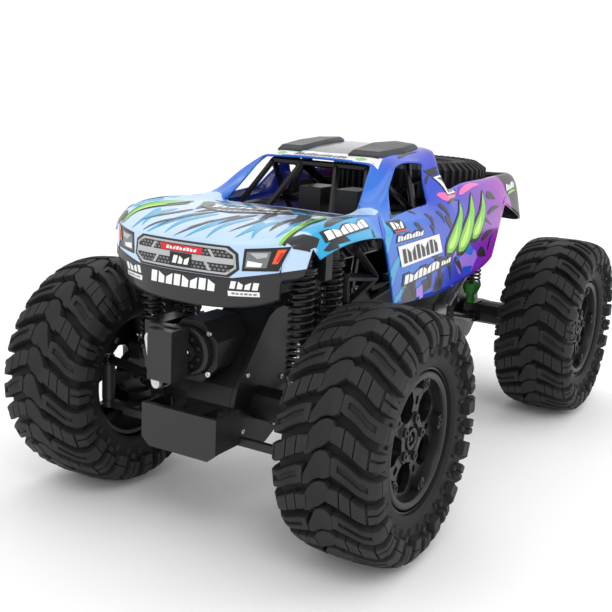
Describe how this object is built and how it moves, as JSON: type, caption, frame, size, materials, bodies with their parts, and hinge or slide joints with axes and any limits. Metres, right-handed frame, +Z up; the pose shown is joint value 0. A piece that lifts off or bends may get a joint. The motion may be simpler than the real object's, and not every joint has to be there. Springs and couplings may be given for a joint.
{
  "type": "rc monster truck",
  "caption": "Electric radio-controlled monster truck: printed body shell over a tub chassis, live axles on coil-over shocks, steered front wheels and big lugged tyres.",
  "frame": {"origin": "on the ground, midway between the axles", "axes": "+Z up, the truck drives towards -Y, its left side is +X"},
  "size_m": [0.276, 0.5096, 0.2365],
  "materials": {
    "paint": "gloss printed clear-coated shell",
    "black_plastic": "moulded, fine grain",
    "satin_black": "satin",
    "tyre": "soft matt rubber",
    "steel": "plain",
    "chrome": "bright",
    "green": "anodised look",
    "battery": "shrink wrap",
    "board": "solder mask",
    "white_plastic": "moulded nylon"
  },
  "bodies": {
    "chassis": {"chassis_frame": "black_plastic", "battery_pack": "battery", "battery_door": "black_plastic", "circuit_board": "board", "front_shock_tower": "black_plastic", "rear_shock_tower": "black_plastic", "body_shell": "paint", "roll_cage": "black_plastic", "cockpit_tray": "black_plastic", "bed_tray": "black_plastic", "spare_tyre": "tyre", "spare_rim": "satin_black", "rear_strut_left": "chrome", "rear_strut_right": "chrome", "front_left_fore_shock_cylinder": "satin_black", "front_left_aft_shock_cylinder": "satin_black", "front_right_fore_shock_cylinder": "satin_black", "front_right_aft_shock_cylinder": "satin_black", "rear_left_aft_shock_cylinder": "satin_black", "rear_right_aft_shock_cylinder": "satin_black"},
    "switch": {"power_switch": "white_plastic"},
    "front_axle": {"front_axle_case_right": "black_plastic", "front_axle_case_left": "black_plastic", "front_motor": "black_plastic", "steering_servo": "satin_black", "front_skid_plate": "black_plastic", "front_left_fore_shock_shaft": "green", "front_left_aft_shock_shaft": "green", "front_right_fore_shock_shaft": "green", "front_right_aft_shock_shaft": "green"},
    "rear_axle": {"rear_axle_case_right": "black_plastic", "rear_axle_case_left": "black_plastic", "rear_motor": "black_plastic", "rear_left_aft_shock_shaft": "green", "rear_right_aft_shock_shaft": "green"},
    "left_knuckle": {"steering_knuckle_left": "black_plastic"},
    "right_knuckle": {"steering_knuckle_right": "black_plastic"},
    "horn": {"servo_horn": "steel"},
    "drag_bar": {"drag_link": "black_plastic"},
    "tie_bar": {"tie_rod": "black_plastic"},
    "front_left_wheel": {"front_left_tyre": "tyre", "front_left_rim": "satin_black"},
    "front_right_wheel": {"front_right_tyre": "tyre", "front_right_rim": "satin_black"},
    "rear_wheels": {"rear_left_tyre": "tyre", "rear_left_rim": "satin_black", "rear_right_tyre": "tyre", "rear_right_rim": "satin_black", "rear_axle_shaft": "steel"},
    "front_shaft": {"front_axle_shaft": "steel"},
    "front_counter": {"front_counter_gear": "white_plastic"},
    "front_pinion": {"front_motor_pinion": "steel"},
    "rear_counter": {"rear_counter_gear": "white_plastic"},
    "rear_pinion": {"rear_motor_pinion": "steel"},
    "front_left_link": {"front_left_lower_link": "black_plastic"},
    "front_right_link": {"front_right_lower_link": "black_plastic"},
    "rear_left_link": {"rear_left_lower_link": "black_plastic"},
    "rear_right_link": {"rear_right_lower_link": "black_plastic"}
  },
  "joints": [
    {"name": "front_suspension", "type": "slide", "parent": "chassis", "child": "front_axle", "axis": [0, 0, 1], "range_m": [-0.01, 0.0075], "stiffness_N_per_m": 4000, "springref_m": -0.0015},
    {"name": "rear_suspension", "type": "slide", "parent": "chassis", "child": "rear_axle", "axis": [0, 0, 1], "range_m": [-0.01, 0.008], "stiffness_N_per_m": 4000, "springref_m": -0.0015},
    {"name": "steering", "type": "hinge", "parent": "front_axle", "child": "left_knuckle", "pos_m": [0.08, -0.17725, 0.0775], "axis": [0, 0, 1], "range_deg": [-16.5, 16.5]},
    {"name": "right_steering", "type": "hinge", "parent": "front_axle", "child": "right_knuckle", "pos_m": [-0.08, -0.17725, 0.0775], "axis": [0, 0, 1], "range_deg": [-16.5, 16.5]},
    {"name": "tie_rod_slide", "type": "slide", "parent": "front_axle", "child": "tie_bar", "axis": [1, 0, 0], "range_m": [-0.0083, 0.0083]},
    {"name": "drag_link_slide", "type": "slide", "parent": "front_axle", "child": "drag_bar", "axis": [1, 0, 0], "range_m": [-0.0083, 0.0083]},
    {"name": "servo_horn_turn", "type": "hinge", "parent": "front_axle", "child": "horn", "pos_m": [-0.032, -0.22535, 0.121], "axis": [0, 1, 0], "range_deg": [-16.5, 16.5]},
    {"name": "front_left_spin", "type": "hinge", "parent": "left_knuckle", "child": "front_left_wheel", "pos_m": [0.105, -0.17725, 0.0775], "axis": [1, 0, 0], "continuous": true},
    {"name": "front_right_spin", "type": "hinge", "parent": "right_knuckle", "child": "front_right_wheel", "pos_m": [-0.105, -0.17725, 0.0775], "axis": [1, 0, 0], "continuous": true},
    {"name": "rear_wheels_spin", "type": "hinge", "parent": "rear_axle", "child": "rear_wheels", "pos_m": [0, 0.17725, 0.0775], "axis": [1, 0, 0], "continuous": true},
    {"name": "front_shaft_spin", "type": "hinge", "parent": "front_axle", "child": "front_shaft", "pos_m": [0, -0.17725, 0.0775], "axis": [1, 0, 0], "continuous": true},
    {"name": "front_counter_spin", "type": "hinge", "parent": "front_axle", "child": "front_counter", "pos_m": [0, -0.156, 0.11428], "axis": [1, 0, 0], "continuous": true},
    {"name": "front_pinion_spin", "type": "hinge", "parent": "front_axle", "child": "front_pinion", "pos_m": [-0.01, -0.17725, 0.11428], "axis": [0, 1, 0], "continuous": true},
    {"name": "rear_counter_spin", "type": "hinge", "parent": "rear_axle", "child": "rear_counter", "pos_m": [0, 0.156, 0.11428], "axis": [1, 0, 0], "continuous": true},
    {"name": "rear_pinion_spin", "type": "hinge", "parent": "rear_axle", "child": "rear_pinion", "pos_m": [-0.0042, 0.17725, 0.11428], "axis": [0, 1, 0], "continuous": true},
    {"name": "front_left_link_turn", "type": "hinge", "parent": "chassis", "child": "front_left_link", "pos_m": [0.03, -0.092, 0.09], "axis": [1, 0, 0], "range_deg": [-9, 9]},
    {"name": "front_right_link_turn", "type": "hinge", "parent": "chassis", "child": "front_right_link", "pos_m": [-0.03, -0.092, 0.09], "axis": [1, 0, 0], "range_deg": [-9, 9]},
    {"name": "rear_left_link_turn", "type": "hinge", "parent": "chassis", "child": "rear_left_link", "pos_m": [0.03, 0.092, 0.09], "axis": [1, 0, 0], "range_deg": [-9, 9]},
    {"name": "rear_right_link_turn", "type": "hinge", "parent": "chassis", "child": "rear_right_link", "pos_m": [-0.03, 0.092, 0.09], "axis": [1, 0, 0], "range_deg": [-9, 9]},
    {"name": "power_switch_slide", "type": "slide", "parent": "chassis", "child": "switch", "axis": [0, 1, 0], "range_m": [0, 0.004]}
  ],
  "couplings": [
    {"joint": "right_steering", "follows": "steering", "ratio": 1},
    {"joint": "tie_rod_slide", "follows": "steering", "m_per_rad": 0.02775},
    {"joint": "drag_link_slide", "follows": "steering", "m_per_rad": 0.02775},
    {"joint": "servo_horn_turn", "follows": "steering", "ratio": -0.991},
    {"joint": "front_right_spin", "follows": "front_left_spin", "ratio": 1},
    {"joint": "front_shaft_spin", "follows": "front_left_spin", "ratio": 1},
    {"joint": "front_counter_spin", "follows": "front_left_spin", "ratio": -1.4},
    {"joint": "front_pinion_spin", "follows": "front_left_spin", "ratio": -3.5},
    {"joint": "rear_counter_spin", "follows": "rear_wheels_spin", "ratio": -1.4},
    {"joint": "rear_pinion_spin", "follows": "rear_wheels_spin", "ratio": 3.5},
    {"joint": "front_left_link_turn", "follows": "front_suspension", "rad_per_m": -15.15},
    {"joint": "front_right_link_turn", "follows": "front_suspension", "rad_per_m": -15.15},
    {"joint": "rear_left_link_turn", "follows": "rear_suspension", "rad_per_m": 15.15},
    {"joint": "rear_right_link_turn", "follows": "rear_suspension", "rad_per_m": 15.15}
  ]
}
